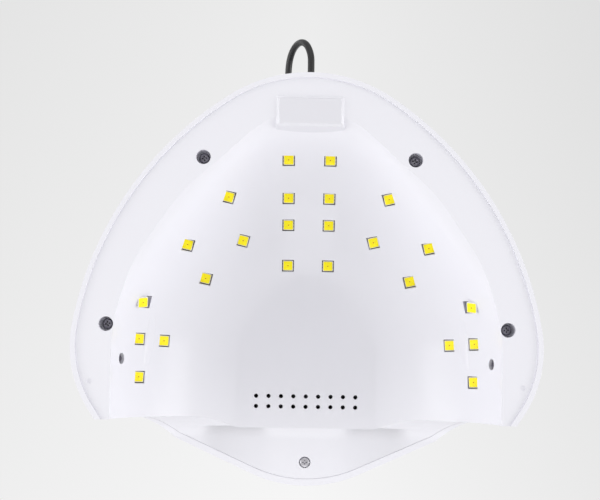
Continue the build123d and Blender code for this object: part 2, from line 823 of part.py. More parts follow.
for node, solid in solids.items():
    export_step(solid, f"parts/{node}.step")
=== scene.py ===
import math
import random

import bmesh
import bpy
import numpy as np
from mathutils import Matrix, Vector


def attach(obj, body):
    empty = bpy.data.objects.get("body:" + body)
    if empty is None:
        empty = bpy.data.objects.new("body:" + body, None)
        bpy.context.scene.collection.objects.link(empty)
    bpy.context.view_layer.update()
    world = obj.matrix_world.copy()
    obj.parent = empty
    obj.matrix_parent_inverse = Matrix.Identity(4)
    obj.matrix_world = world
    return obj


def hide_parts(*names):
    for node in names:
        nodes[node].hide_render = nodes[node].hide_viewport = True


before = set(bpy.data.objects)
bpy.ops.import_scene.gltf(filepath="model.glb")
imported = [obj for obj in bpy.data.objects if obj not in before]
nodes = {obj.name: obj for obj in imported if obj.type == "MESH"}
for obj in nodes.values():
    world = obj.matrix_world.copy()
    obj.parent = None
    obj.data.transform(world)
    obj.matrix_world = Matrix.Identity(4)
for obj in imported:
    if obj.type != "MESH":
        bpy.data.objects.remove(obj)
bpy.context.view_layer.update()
scene = bpy.context.scene
mm = 0.001

# Small helpers for node trees and meshes


def setInputs(node, values):
    for label, value in values.items():
        node.inputs[label.replace("_", " ")].default_value = value


def addNode(tree, kind, settings=None, **inputs):
    node = tree.nodes.new(kind)
    for name, value in (settings or {}).items():
        setattr(node, name, value)
    setInputs(node, inputs)
    return node


def newGroup(name, inputs, outputs):
    tree = bpy.data.node_groups.new(name, "ShaderNodeTree")
    for label, value in inputs.items():
        tree.interface.new_socket(label, in_out="INPUT", socket_type="NodeSocketFloat").default_value = value
    for label in outputs:
        tree.interface.new_socket(label, in_out="OUTPUT", socket_type="NodeSocketFloat")
    return tree, tree.nodes.new("NodeGroupInput"), tree.nodes.new("NodeGroupOutput")


def useGroup(tree, group, **values):
    node = tree.nodes.new("ShaderNodeGroup")
    node.node_tree = group
    setInputs(node, values)
    return node


def feed(tree, socket, value):
    if isinstance(value, (int, float)):
        socket.default_value = value
    else:
        tree.links.new(value, socket)


def calc(tree, operation, *values, clamp=False):
    node = addNode(tree, "ShaderNodeMath", {"operation": operation, "use_clamp": clamp})
    for socket, value in zip(node.inputs, values):
        feed(tree, socket, value)
    return node.outputs[0]


def mapRange(tree, value, start, end, low=0.0, high=1.0, kind="LINEAR"):
    node = addNode(tree, "ShaderNodeMapRange", {"interpolation_type": kind})
    for socket, amount in zip(node.inputs, (value, start, end, low, high)):
        feed(tree, socket, amount)
    return node.outputs[0]


def splitAxes(tree, vector):
    split = tree.nodes.new("ShaderNodeSeparateXYZ")
    tree.links.new(vector, split.inputs[0])
    return [split.outputs[axis] for axis in "XYZ"]


def noiseIn(tree, scaleSocket, detail):
    coord = addNode(tree, "ShaderNodeTexCoord")
    noise = addNode(tree, "ShaderNodeTexNoise", Detail=detail)
    tree.links.new(coord.outputs["Object"], noise.inputs["Vector"])
    tree.links.new(scaleSocket, noise.inputs["Scale"])
    return noise.outputs["Fac"]


def shadeSmooth(mesh, degrees):
    mesh.shade_smooth()
    mesh.set_sharp_from_angle(angle=math.radians(degrees))


def addObject(name, data):
    piece = bpy.data.objects.new(name, data)
    scene.collection.objects.link(piece)
    return piece


def meshObject(name, bm, material=None, smooth=None):
    mesh = bpy.data.meshes.new(name)
    bm.to_mesh(mesh)
    bm.free()
    if smooth is not None:
        shadeSmooth(mesh, smooth)
    if material:
        mesh.materials.append(material)
    return addObject(name, mesh)


# A mesh whose faces are all turned outwards
def solidObject(name, bm, material=None, smooth=None):
    bmesh.ops.recalc_face_normals(bm, faces=bm.faces)
    return meshObject(name, bm, material, smooth)


def finalMesh(piece):
    graph = bpy.context.evaluated_depsgraph_get()
    return bpy.data.meshes.new_from_object(piece.evaluated_get(graph), depsgraph=graph)


def plainMesh(piece):
    mesh = finalMesh(piece)
    piece.modifiers.clear()
    piece.data = mesh


def place(piece, body, slot, *replaced):
    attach(piece, body)
    if replaced:
        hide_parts(*replaced)
    return piece


# Camera: looks up at the underside from below, as the photograph does

cameraSetup = {
    "place": (-0.0001, -0.0167, -0.700),
    "turn": (182.78, -0.28, 179.04),
    "lens": 87.9,
}


def makeCamera():
    data = bpy.data.cameras.new("undersideCamera")
    data.sensor_width = 36.0
    data.lens = cameraSetup["lens"]
    data.clip_start = 0.01
    data.clip_end = 30.0
    camera = addObject("undersideCamera", data)
    camera.location = cameraSetup["place"]
    camera.rotation_euler = [math.radians(angle) for angle in cameraSetup["turn"]]
    scene.camera = camera


makeCamera()
print("camera ready")


# Shader groups that more than one finish uses


def mouldedSkinGroup():
    scales = {"Ripple": 160.0, "Grain": 1500.0, "Patch": 14.0}
    grainShare = 0.12
    tree, start, end = newGroup("mouldedSkin", scales, ["Height", "Gloss", "Tone"])
    ripple = noiseIn(tree, start.outputs["Ripple"], 1.0)
    grain = noiseIn(tree, start.outputs["Grain"], 2.0)
    patch = noiseIn(tree, start.outputs["Patch"], 3.0)
    feed(tree, end.inputs["Height"], calc(tree, "MULTIPLY_ADD", grain, grainShare, ripple))
    feed(tree, end.inputs["Tone"], patch)
    feed(tree, end.inputs["Gloss"], calc(tree, "MULTIPLY", patch, grain))
    return tree


def fineGrainGroup():
    tree, start, end = newGroup("fineGrain", {"Scale": 2500.0, "Patch": 60.0}, ["Height", "Tone"])
    tree.links.new(noiseIn(tree, start.outputs["Scale"], 3.0), end.inputs["Height"])
    tree.links.new(noiseIn(tree, start.outputs["Patch"], 4.0), end.inputs["Tone"])
    return tree


def copperTracksGroup():
    trackEdge, trackFade = 0.05, 0.09
    tree, start, end = newGroup("copperTracks", {"Scale": 180.0}, ["Mask", "Height"])
    coord = addNode(tree, "ShaderNodeTexCoord")
    cells = addNode(tree, "ShaderNodeTexVoronoi", {"feature": "DISTANCE_TO_EDGE"})
    tree.links.new(coord.outputs["Object"], cells.inputs["Vector"])
    tree.links.new(start.outputs["Scale"], cells.inputs["Scale"])
    track = mapRange(tree, cells.outputs["Distance"], trackEdge, trackFade, 1.0, 0.0)
    feed(tree, end.inputs["Mask"], track)
    feed(tree, end.inputs["Height"], track)
    return tree


# Rounds the shading over the edge between the flat ceiling and the walls
ceiling = {
    "centreY": -0.036,
    "reach": 0.0358,
    "frontReach": 0.0056,
    "roundness": 5.0,
    "blend": 0.016,
    "fade": 0.007,
    "slope": 0.47,
    "facing": -0.80,
    "lowest": 0.050,
    "nearest": 0.0001,
}

# Socket numbers of the Mix node, whose sockets share their names between its data types
mixColour = {"first": 6, "second": 7, "result": 2}
mixVector = {"first": 4, "second": 5, "result": 1}


def ceilingBlendGroup():
    tree = bpy.data.node_groups.new("ceilingBlend", "ShaderNodeTree")
    tree.interface.new_socket("Normal", in_out="OUTPUT", socket_type="NodeSocketVector")
    end = tree.nodes.new("NodeGroupOutput")
    link = tree.links.new

    def do(operation, *values):
        return calc(tree, operation, *values)

    where = tree.nodes.new("ShaderNodeTexCoord")
    x, depth, height = splitAxes(tree, where.outputs["Object"])
    y = do("MAXIMUM", do("SUBTRACT", depth, ceiling["centreY"]), 0.0)
    reach = do("SQRT", do("ADD", do("MULTIPLY", x, x), do("MULTIPLY", y, y)))
    away = do("MAXIMUM", reach, ceiling["nearest"])
    front = do("POWER", do("DIVIDE", y, away), ceiling["roundness"])
    edge = do("MULTIPLY_ADD", front, ceiling["frontReach"], ceiling["reach"])
    beyond = do("SUBTRACT", away, edge)
    bend = mapRange(tree, beyond, -ceiling["blend"], ceiling["blend"], kind="SMOOTHSTEP")
    lean = do("MULTIPLY", bend, -ceiling["slope"])
    rounded = tree.nodes.new("ShaderNodeCombineXYZ")
    link(do("MULTIPLY", do("DIVIDE", x, away), lean), rounded.inputs[0])
    link(do("MULTIPLY", do("DIVIDE", y, away), lean), rounded.inputs[1])
    rounded.inputs[2].default_value = -1.0

    faceData = tree.nodes.new("ShaderNodeNewGeometry")
    level = do("LESS_THAN", splitAxes(tree, faceData.outputs["Normal"])[2], ceiling["facing"])
    outer, inner = ceiling["blend"] + ceiling["fade"], ceiling["blend"] - ceiling["fade"]
    near = mapRange(tree, do("ABSOLUTE", beyond), outer, inner, kind="SMOOTHSTEP")
    high = do("GREATER_THAN", height, ceiling["lowest"])

    mix = addNode(tree, "ShaderNodeMix", {"data_type": "VECTOR"})
    link(do("MULTIPLY", do("MULTIPLY", near, level), high), mix.inputs[0])
    link(faceData.outputs["Normal"], mix.inputs[mixVector["first"]])
    for vector, target in ((rounded.outputs[0], mix.inputs[mixVector["second"]]),
                           (mix.outputs[mixVector["result"]], end.inputs["Normal"])):
        unit = addNode(tree, "ShaderNodeVectorMath", {"operation": "NORMALIZE"})
        link(vector, unit.inputs[0])
        link(unit.outputs[0], target)
    return tree


mouldedSkin = mouldedSkinGroup()
fineGrain = fineGrainGroup()
copperTracks = copperTracksGroup()
ceilingBlend = ceilingBlendGroup()


# Finishes


def newFinish(name, **sockets):
    material = bpy.data.materials.new(name)
    material.use_nodes = True
    tree = material.node_tree
    shader = tree.nodes["Principled BSDF"]
    setInputs(shader, sockets)
    return material, tree, shader


def tint(tree, shader, mask, dark, light):
    mix = addNode(tree, "ShaderNodeMix", {"data_type": "RGBA"})
    mix.inputs[mixColour["first"]].default_value = (*dark, 1)
    mix.inputs[mixColour["second"]].default_value = (*light, 1)
    tree.links.new(mask, mix.inputs[0])
    colour = mix.outputs[mixColour["result"]]
    tree.links.new(colour, shader.inputs["Base Color"])
    return colour


def roughen(tree, shader, mask, low, high):
    darkest, lightest = 0.2, 0.8
    feed(tree, shader.inputs["Roughness"], mapRange(tree, mask, darkest, lightest, low, high))


def emboss(tree, shader, height, strength, depth, base=None):
    bump = addNode(tree, "ShaderNodeBump", Strength=strength, Distance=depth)
    tree.links.new(height, bump.inputs["Height"])
    if base:
        tree.links.new(useGroup(tree, base).outputs["Normal"], bump.inputs["Normal"])
    tree.links.new(bump.outputs["Normal"], shader.inputs["Normal"])


def glossPlastic(name, dark, light, low, high, ripple=160.0, strength=0.02, coat=0.0, base=None):
    material, tree, shader = newFinish(name, IOR=1.5, Coat_Weight=coat, Coat_Roughness=0.08)
    skin = useGroup(tree, mouldedSkin, Ripple=ripple)
    tint(tree, shader, skin.outputs["Tone"], dark, light)
    roughen(tree, shader, skin.outputs["Gloss"], low, high)
    emboss(tree, shader, skin.outputs["Height"], strength, depth=0.0004, base=base)
    return material


# Fine-grained finish; its colour glows where it is given an emission
def grainFinish(name, dark, light, low, high, scale=2500.0, patch=60.0, rough="Tone",
                strength=0.25, depth=0.00008, **sockets):
    material, tree, shader = newFinish(name, **sockets)
    grain = useGroup(tree, fineGrain, Scale=scale, Patch=patch)
    colour = tint(tree, shader, grain.outputs["Tone"], dark, light)
    if "Emission_Strength" in sockets:
        tree.links.new(colour, shader.inputs["Emission Color"])
    roughen(tree, shader, grain.outputs[rough], low, high)
    if strength:
        emboss(tree, shader, grain.outputs["Height"], strength, depth)
    return material


def boardFinish(name, mask, track, low, high, scale):
    material, tree, shader = newFinish(name, IOR=1.5)
    tracks = useGroup(tree, copperTracks, Scale=scale)
    tint(tree, shader, tracks.outputs["Mask"], mask, track)
    grain = useGroup(tree, fineGrain, Scale=1800.0)
    roughen(tree, shader, grain.outputs["Tone"], low, high)
    emboss(tree, shader, tracks.outputs["Height"], strength=0.4, depth=0.00005)
    return material


def metalFinish(name, dark, light, low, high, scale=900.0):
    return grainFinish(name, dark, light, low, high, scale, patch=250.0, rough="Height",
                       strength=0.15, depth=0.00003, Metallic=1.0)


# Each: name, darker colour, lighter colour, lowest and highest roughness
finishes = {
    "housing": glossPlastic("housingWhite", (0.86, 0.855, 0.91), (0.88, 0.875, 0.925), 0.20, 0.24,
                            coat=0.3, strength=0.005),
    "reflector": glossPlastic("reflectorWhite", (0.855, 0.85, 0.905), (0.875, 0.87, 0.92), 0.32, 0.35,
                              coat=0.08, strength=0.003, base=ceilingBlend),
    # The rear box cover is painted greyer than the reflector: painted shade, as its face turns less towards
    # the light than the flange around it
    "rearBox": glossPlastic("rearBoxPaintedShade", (0.78, 0.775, 0.825), (0.795, 0.79, 0.84), 0.32, 0.35,
                            coat=0.08, strength=0.003),
    "button": glossPlastic("buttonWhite", (0.84, 0.84, 0.87), (0.86, 0.86, 0.88), 0.22, 0.36, ripple=400.0),
    "print": grainFinish("printGrey", (0.16, 0.16, 0.18), (0.20, 0.20, 0.22), 0.45, 0.6,
                         scale=4000.0, strength=0.1),
    "window": grainFinish("smokedWindow", (0.035, 0.035, 0.040), (0.045, 0.045, 0.050), 0.04, 0.09,
                          scale=900.0, strength=0.0, IOR=1.49, Transmission_Weight=0.55),
    "display": grainFinish("displayBlack", (0.012, 0.012, 0.013), (0.022, 0.022, 0.024), 0.45, 0.65),
    "segment": glossPlastic("segmentGrey", (0.30, 0.29, 0.28), (0.36, 0.35, 0.34), 0.3, 0.5, ripple=500.0),
    "board": boardFinish("boardGreen", (0.012, 0.085, 0.035), (0.03, 0.16, 0.06), 0.28, 0.45, scale=260.0),
    "ledBoard": boardFinish("ledBoardDark", (0.020, 0.018, 0.020), (0.06, 0.05, 0.045), 0.35, 0.5,
                            scale=300.0),
    "component": grainFinish("componentBlack", (0.018, 0.018, 0.020), (0.035, 0.035, 0.038), 0.4, 0.6),
    # The phosphor's faint emission is a painted glow that makes its yellow brighter
    "phosphor": grainFinish("phosphorYellowPaintedGlow", (0.96, 0.80, 0.006), (1.0, 0.88, 0.02), 0.18, 0.34,
                            scale=1400.0, patch=420.0, rough="Height", strength=0.2, depth=0.00004,
                            IOR=1.41, Emission_Strength=0.16),
    "die": grainFinish("dieBrown", (0.42, 0.22, 0.005), (0.55, 0.30, 0.01), 0.3, 0.4,
                       scale=5000.0, strength=0.1),
    "package": grainFinish("packageWhite", (0.84, 0.83, 0.80), (0.90, 0.89, 0.87), 0.35, 0.5,
                           scale=3000.0, strength=0.1),
    "tin": metalFinish("leadTin", (0.55, 0.55, 0.55), (0.72, 0.72, 0.70), 0.25, 0.45),
    # Lit and shaded copies of one screw metal: the darker copy on the rim screws is painted shade for their
    # recesses, the lighter copy on the nose screw is painted light
    "screw": metalFinish("screwShadedCopy", (0.16, 0.155, 0.18), (0.28, 0.27, 0.31), 0.25, 0.45),
    "noseScrewLit": metalFinish("screwLitCopy", (0.44, 0.43, 0.47), (0.66, 0.65, 0.68), 0.2, 0.35),
    "sensor": glossPlastic("sensorDark", (0.04, 0.035, 0.055), (0.06, 0.05, 0.08), 0.08, 0.16,
                           ripple=300.0, strength=0.01),
    "lead": grainFinish("leadBlack", (0.010, 0.010, 0.011), (0.020, 0.020, 0.021), 0.30, 0.46,
                        scale=3500.0, depth=0.00003),
    "tie": grainFinish("tieBlack", (0.014, 0.014, 0.015), (0.028, 0.028, 0.03), 0.35, 0.55),
    "plug": grainFinish("plugBlack", (0.012, 0.012, 0.013), (0.026, 0.026, 0.028), 0.38, 0.58, scale=2000.0),
    "nickel": metalFinish("plugNickel", (0.62, 0.60, 0.56), (0.78, 0.77, 0.74), 0.12, 0.25, scale=500.0),
}


def finishNodes():
    wanted = {
        "outer_shell": "housing",
        "reflector": "reflector",
        "display_window": "window",
        "display_module": "display",
        "control_board": "board",
        "driver_board": "board",
        "driver_parts": "component",
        "push_switches": "component",
        "dc_socket": "component",
        "hand_sensor_emitter": "sensor",
        "hand_sensor_receiver": "sensor",
        "coil_tie": "tie",
        "dc_plug": "plug",
        "end_connector": "plug",
        "plug_barrel": "nickel",
        "housing_screws": "screw",
    }
    families = {
        "button_": "button",
        "switch_stem_": "component",
        "led_board_": "ledBoard",
        "led_chips_": "phosphor",
    }
    for name, node in nodes.items():
        kind = wanted.get(name, "lead")
        for start, family in families.items():
            if name.startswith(start):
                kind = family
        for slot in node.material_slots:
            slot.material = finishes[kind]


finishNodes()
print("finishes ready:", len(finishes))


# Copies set on places: one Geometry Nodes tree, given a template and a finish


def placedCopiesTree():
    tree = bpy.data.node_groups.new("placedCopies", "GeometryNodeTree")
    for label, kind in (("Geometry", "Geometry"), ("Template", "Object"), ("Finish", "Material")):
        tree.interface.new_socket(label, in_out="INPUT", socket_type="NodeSocket" + kind)
    tree.interface.new_socket("Geometry", in_out="OUTPUT", socket_type="NodeSocketGeometry")
    start = tree.nodes.new("NodeGroupInput")
    end = tree.nodes.new("NodeGroupOutput")
    turn = addNode(tree, "GeometryNodeInputNamedAttribute", {"data_type": "FLOAT_VECTOR"}, Name="turn")
    toRotation = tree.nodes.new("FunctionNodeEulerToRotation")
    source = tree.nodes.new("GeometryNodeObjectInfo")
    copies = tree.nodes.new("GeometryNodeInstanceOnPoints")
    real = tree.nodes.new("GeometryNodeRealizeInstances")
    paint = tree.nodes.new("GeometryNodeSetMaterial")
    for first, output, second, target in (
        (start, "Geometry", copies, "Points"),
        (start, "Template", source, "Object"),
        (source, "Geometry", copies, "Instance"),
        (turn, "Attribute", toRotation, "Euler"),
        (toRotation, "Rotation", copies, "Rotation"),
        (copies, "Instances", real, "Geometry"),
        (real, "Geometry", paint, "Geometry"),
        (start, "Finish", paint, "Material"),
        (paint, "Geometry", end, "Geometry"),
    ):
        tree.links.new(first.outputs[output], second.inputs[target])
    return tree


copiesTree = placedCopiesTree()


def setCopies(name, template, spots, finish, smooth=30.0):
    bm = bmesh.new()
    for matrix in spots:
        bm.verts.new(matrix.translation)
    piece = meshObject(name, bm)
    turns = piece.data.attributes.new("turn", "FLOAT_VECTOR", "POINT")
    for point, matrix in zip(turns.data, spots):
        point.vector = matrix.to_euler("XYZ")
    modifier = piece.modifiers.new("placedCopies", "NODES")
    modifier.node_group = copiesTree
    items = copiesTree.interface.items_tree
    sockets = {item.name: item.identifier for item in items if item.in_out == "INPUT"}
    modifier[sockets["Template"]] = template
    modifier[sockets["Finish"]] = finish
    plainMesh(piece)
    shadeSmooth(piece.data, smooth)
    return piece


# Corners of each separate solid in a node
def loosePieces(nodeName):
    bm = bmesh.new()
    bm.from_mesh(nodes[nodeName].data)
    bmesh.ops.remove_doubles(bm, verts=bm.verts, dist=1e-6)
    bm.verts.ensure_lookup_table()
    seen, found = set(), []
    for vert in bm.verts:
        if vert.index in seen:
            continue
        stack, island = [vert], []
        seen.add(vert.index)
        while stack:
            here = stack.pop()
            island.append(here.co.copy())
            for edge in here.link_edges:
                other = edge.other_vert(here)
                if other.index not in seen:
                    seen.add(other.index)
                    stack.append(other)
        found.append(island)
    bm.free()
    return found


def frameAt(spot, across, up):
    matrix = Matrix((across, up.cross(across), up)).transposed().to_4x4()
    matrix.translation = spot
    return matrix


# Frame of a box from its corners, with z along its thickness and pointing towards a place
def boxFrame(corners, towards):
    squareEnough = 0.01
    centre = sum(corners, Vector()) / len(corners)
    first = corners[0]
    edges = sorted((corner - first for corner in corners[1:]), key=lambda edge: edge.length)
    axes = [edges[0].normalized()]
    for edge in edges[1:]:
        if all(abs(edge.normalized().dot(axis)) < squareEnough for axis in axes):
            axes.append(edge.normalized())
        if len(axes) == 3:
            break
    up = axes[0] if axes[0].dot(towards - centre) > 0 else -axes[0]
    across = max(axes[1:], key=lambda axis: abs(axis.x))
    across = across if across.x > 0 else -across
    return frameAt(centre, across, up)


# LED chips: a cream package with a crowned phosphor pad and tinned leads, 24 in seven groups

chip = {
    "side": 5.2,
    "height": 1.5,
    "edge": 0.12,
    "bevel": 0.10,
    "wall": 0.24,
    "cavity": 0.26,
    "corner": 0.5,
    "padGap": 0.01,
    "padDrop": 0.05,
    "padSteps": (0.0, 0.12, 0.3, 0.55, 0.8),
    "crown": 0.10,
    "leadWidth": 0.8,
    "leadPitch": 1.6,
    "leadThickness": 0.2,
    "leadTop": 0.1,
    "leadBevel": 0.04,
    "dieRings": ((0.34, -0.10), (0.36, 0.01), (0.22, 0.035)),
    "dieSides": 12,
    "dieSquash": 0.8,
}


square = ((-1, -1), (1, -1), (1, 1), (-1, 1))


def circle(count):
    return [(math.cos(angle), math.sin(angle)) for angle in (2 * math.pi * i / count for i in range(count))]


def ringAt(points, z):
    return [Vector((x, y, z)) * mm for x, y in points]


def stackRings(bm, rings):
    loops = [[bm.verts.new(point) for point in ring] for ring in rings]
    count = len(loops[0])
    for low, high in zip(loops, loops[1:]):
        for i in range(count):
            j = (i + 1) % count
            bm.faces.new((low[i], low[j], high[j], high[i]))
    bm.faces.new(list(reversed(loops[0])))
    bm.faces.new(loops[-1])


def roundedRing(half, front, back, corner, z, steps=4):
    points = []
    centres = ((half, back), (-half, back), (-half, front), (half, front))
    for quarter, (x, y) in enumerate(centres):
        x -= math.copysign(corner, x)
        y += corner if y == front else -corner
        for step in range(steps + 1):
            angle = math.pi / 2 * (quarter + step / steps)
            points.append((x + corner * math.cos(angle), y + corner * math.sin(angle)))
    return ringAt(points, z)


def squareAt(half, corner, z):
    return roundedRing(half, -half, half, corner, z)


def chipPackage():
    half, top = chip["side"] / 2, chip["height"] / 2
    inner, edge = half - chip["wall"], chip["edge"]
    bm = bmesh.new()
    stackRings(bm, [
        squareAt(half, edge, -top),
        squareAt(half, edge, top - edge),
        squareAt(half - chip["bevel"], edge, top),
        squareAt(inner, chip["corner"], top),
        squareAt(inner - edge, chip["corner"], top - chip["cavity"]),
    ])
    return meshObject("chipPackageTemplate", bm)


def chipPad():
    top = chip["height"] / 2
    inner = chip["side"] / 2 - chip["wall"] - chip["padGap"]
    bm = bmesh.new()
    rings = [squareAt(inner - chip["bevel"], chip["corner"], top - chip["cavity"] + chip["padGap"])]
    for share in chip["padSteps"]:
        rise = top - chip["padDrop"] + chip["crown"] * (1 - (1 - share) ** 2)
        rings.append(squareAt(inner * (1 - share), chip["corner"] * (1 - share), rise))
    stackRings(bm, rings)
    return meshObject("chipPadTemplate", bm)


def addBox(bm, low, high, bevel):
    made = bmesh.ops.create_cube(bm, size=1.0)["verts"]
    for vert in made:
        for axis in range(3):
            vert.co[axis] = (low[axis] if vert.co[axis] < 0 else high[axis]) * mm
    edges = {edge for vert in made for edge in vert.link_edges}
    bmesh.ops.bevel(bm, geom=list(edges), offset=bevel * mm, segments=2, affect="EDGES", profile=0.5)


def chipLeads():
    half, top, width = chip["side"] / 2, chip["height"] / 2, chip["leadWidth"] / 2
    bm = bmesh.new()
    for side in (-1, 1):
        for row in (-1, 0, 1):
            y = row * chip["leadPitch"]
            low, high = sorted((side * half, side * (half + chip["leadThickness"])))
            addBox(bm, (low, y - width, -top), (high, y + width, chip["leadTop"]), chip["leadBevel"])
    return meshObject("chipLeadsTemplate", bm)


# Three dice shimmer through the middle of the phosphor as one small brown spot
def chipDie():
    top = chip["height"] / 2 - chip["padDrop"] + chip["crown"]
    bm = bmesh.new()
    rings = []
    for radius, rise in chip["dieRings"]:
        oval = [(radius * x, chip["dieSquash"] * radius * y) for x, y in circle(chip["dieSides"])]
        rings.append(ringAt(oval, top + rise))
    stackRings(bm, rings)
    return meshObject("chipDieTemplate", bm)


# Reflector wall by one side group, as a smooth surface fitted to points of the solid
wallFit = {
    "acrossLow": 0.071,
    "acrossHigh": 0.0915,
    "rear": -0.001,
    "front": -0.050,
    "step": 0.0011,
    "castFrom": -0.01,
    "lowest": 0.012,
    "highest": 0.055,
    "middle": (0.081, -0.025),
    "span": (0.01, 0.025),
    "power": 4,
    "limits": (0.0015, 0.0006, 0.0003, 0.00012, 0.00012),
}


def wallTerms(x, y):
    (middleX, middleY), (spanX, spanY) = wallFit["middle"], wallFit["span"]
    u, v = (x - middleX) / spanX, (y - middleY) / spanY
    return [u ** i * v ** j for i in range(wallFit["power"] + 1) for j in range(wallFit["power"] + 1 - i)]


def fitWall(side):
    wall = nodes["reflector"]
    rows, heights = [], []
    x = wallFit["acrossLow"]
    while x < wallFit["acrossHigh"]:
        y = wallFit["front"]
        while y < wallFit["rear"]:
            hit, spot, _, _ = wall.ray_cast(Vector((side * x, y, wallFit["castFrom"])), Vector((0, 0, 1)))
            if hit and wallFit["lowest"] < spot.z < wallFit["highest"]:
                rows.append(wallTerms(x, y))
                heights.append(spot.z)
            y += wallFit["step"]
        x += wallFit["step"]
    rows, heights = np.array(rows), np.array(heights)
    kept = np.ones(len(heights), bool)
    for limit in wallFit["limits"]:
        share = np.linalg.lstsq(rows[kept], heights[kept], rcond=None)[0]
        kept = np.abs(rows @ share - heights) < limit
    print("wall fit, side", side, "points kept", int(kept.sum()), "of", len(heights))
    return lambda px, py: float(np.dot(wallTerms(abs(px), py), share))


walls = {side: fitWall(side) for side in (-1, 1)}


# In the solids the wall half hides the rearmost side chip.
# It is drawn on its line of sight, in front of the wall
rearSideChip = {"behind": -0.012, "lean": 36.0, "turn": 4.0, "out": 0.0017, "halvings": 40, "probe": 0.0003}


def settleSideChip(matrix):
    spot = matrix.translation
    if spot.y < rearSideChip["behind"]:
        return matrix
    side = 1 if spot.x > 0 else -1
    wall = walls[side]
    eye = Vector(cameraSetup["place"])
    ray = (spot - eye).normalized()
    low, high = 0.0, (spot - eye).length
    for _ in range(rearSideChip["halvings"]):
        middle = (low + high) / 2
        point = eye + ray * middle
        if point.z < wall(point.x, point.y):
            low = middle
        else:
            high = middle
    point = eye + ray * low
    probe = rearSideChip["probe"]
    slope = Vector((wall(point.x + probe, point.y) - wall(point.x - probe, point.y),
                    wall(point.x, point.y + probe) - wall(point.x, point.y - probe), 0)).normalized()
    lean = math.radians(rearSideChip["lean"])
    up = slope * math.sin(lean) + Vector((0, 0, -math.cos(lean)))
    turn = math.radians(side * rearSideChip["turn"])
    across = Vector((math.cos(turn), math.sin(turn), 0))
    across = (across - up * across.dot(up)).normalized()
    return frameAt(point + up * rearSideChip["out"], across, up)


# Low pad that closes the slot beside the side column, following the wall
strip = {
    "rear": (0.0778, -0.0184),
    "front": (0.0800, -0.0368),
    "over": 0.0035,
    "half": 0.0020,
    "endHalf": 0.35,
    "proud": 0.0009,
    "sunk": 0.00012,
    "deep": 0.0006,
    "rows": 40,
    "columns": 8,
}


def stripGrid(bm, side, outer):
    wall, rows, columns = walls[side], strip["rows"], strip["columns"]
    start, end = Vector(strip["rear"]), Vector(strip["front"])
    over = (end - start).normalized() * strip["over"]
    start, end = start - over, end + over
    grid = []
    for i in range(rows + 1):
        middle = start.lerp(end, i / rows)
        hump = math.sin(math.pi * i / rows) ** 0.5
        half = strip["half"] * (strip["endHalf"] + (1 - strip["endHalf"]) * hump)
        line = []
        for j in range(columns + 1):
            across = 2 * j / columns - 1
            x = middle.x + half * across
            offset = strip["sunk"] - strip["proud"] * hump * (1 - across ** 2) if outer else strip["deep"]
            line.append(bm.verts.new((side * x, middle.y, wall(x, middle.y) + offset)))
        grid.append(line)
    return grid


def makeWallStrips():
    rows, columns = strip["rows"], strip["columns"]
    border = [(i, 0) for i in range(rows)] + [(rows, j) for j in range(columns)]
    border += [(i, columns) for i in range(rows, 0, -1)] + [(0, j) for j in range(columns, 0, -1)]
    for side, name in ((1, "right"), (-1, "left")):
        bm = bmesh.new()
        face, back = stripGrid(bm, side, True), stripGrid(bm, side, False)
        for grid in (face, back):
            for i in range(rows):
                for j in range(columns):
                    bm.faces.new((grid[i][j], grid[i + 1][j], grid[i + 1][j + 1], grid[i][j + 1]))
        for (i, j), (k, m) in zip(border, border[1:] + border[:1]):
            bm.faces.new((face[i][j], face[k][m], back[k][m], back[i][j]))
        piece = solidObject(f"wall_strip_{name}", bm, finishes["reflector"], smooth=40)
        place(piece, "lamp", "reflector_white")
    print("wall strips: 2")


makeWallStrips()


# Bead in the joint between the rim flange and the housing
seam = {
    "castFrom": 0.3,
    "castHeight": 0.0016,
    "skip": 0.00002,
    "level": 0.00106,
    "thick": 0.0008,
    "steps": 900,
    "inward": 0.0005,
    "outward": 0.0004,
    "widest": 0.0016,
}


# Four corners of the bead at one angle, or None where the housing isn't beside the rim
def seamCorners(bm, angle):
    out = Vector((math.cos(angle), math.sin(angle), 0))
    start = out * seam["castFrom"] + Vector((0, 0, seam["castHeight"]))
    hit, edge, _, _ = nodes["reflector"].ray_cast(start, -out)
    if not hit:
        return None
    hit, wall, _, _ = nodes["outer_shell"].ray_cast(edge + out * seam["skip"], out)
    if not hit or (wall - edge).length >= seam["widest"]:
        return None
    low, high = edge - out * seam["inward"], wall + out * seam["outward"]
    low.z = high.z = seam["level"]
    up = Vector((0, 0, seam["thick"]))
    return [bm.verts.new(point) for point in (low, high, high + up, low + up)]


def makeRimSeam():
    bm = bmesh.new()
    rings = [seamCorners(bm, 2 * math.pi * i / seam["steps"]) for i in range(seam["steps"])]
    for last, corners in zip(rings, rings[1:] + rings[:1]):
        if last and corners:
            for j in range(4):
                bm.faces.new((last[j], last[(j + 1) % 4], corners[(j + 1) % 4], corners[j]))
    bead = solidObject("rim_seam", bm, finishes["reflector"], smooth=30)
    place(bead, "lamp", "reflector_white")
    print("rim seam spots:", sum(1 for ring in rings if ring), "of", seam["steps"])


makeRimSeam()


# Raised cover over the socket box in the rear of the rim; each level: half width, front, back, height
rearBox = {
    "levels": [
        (14.95, 78.3, 90.2, 0.08), (16.35, 77.0, 91.0, 1.15),
        (16.8, 76.2, 91.2, 3.0), (18.2, 72.6, 91.2, 14.5),
    ],
    "corner": 0.7,
    "cornerSteps": 3,
}


def makeRearBox():
    bm = bmesh.new()
    rings = []
    for half, front, back, z in rearBox["levels"]:
        rings.append(roundedRing(half, front, back, rearBox["corner"], z, rearBox["cornerSteps"]))
    stackRings(bm, rings)
    # The cover's greyer finish is painted shade on its face
    cover = solidObject("rear_box_cover", bm, finishes["rearBox"], smooth=25)
    place(cover, "lamp", "reflector_white")
    print("rear box cover ready")


makeRearBox()


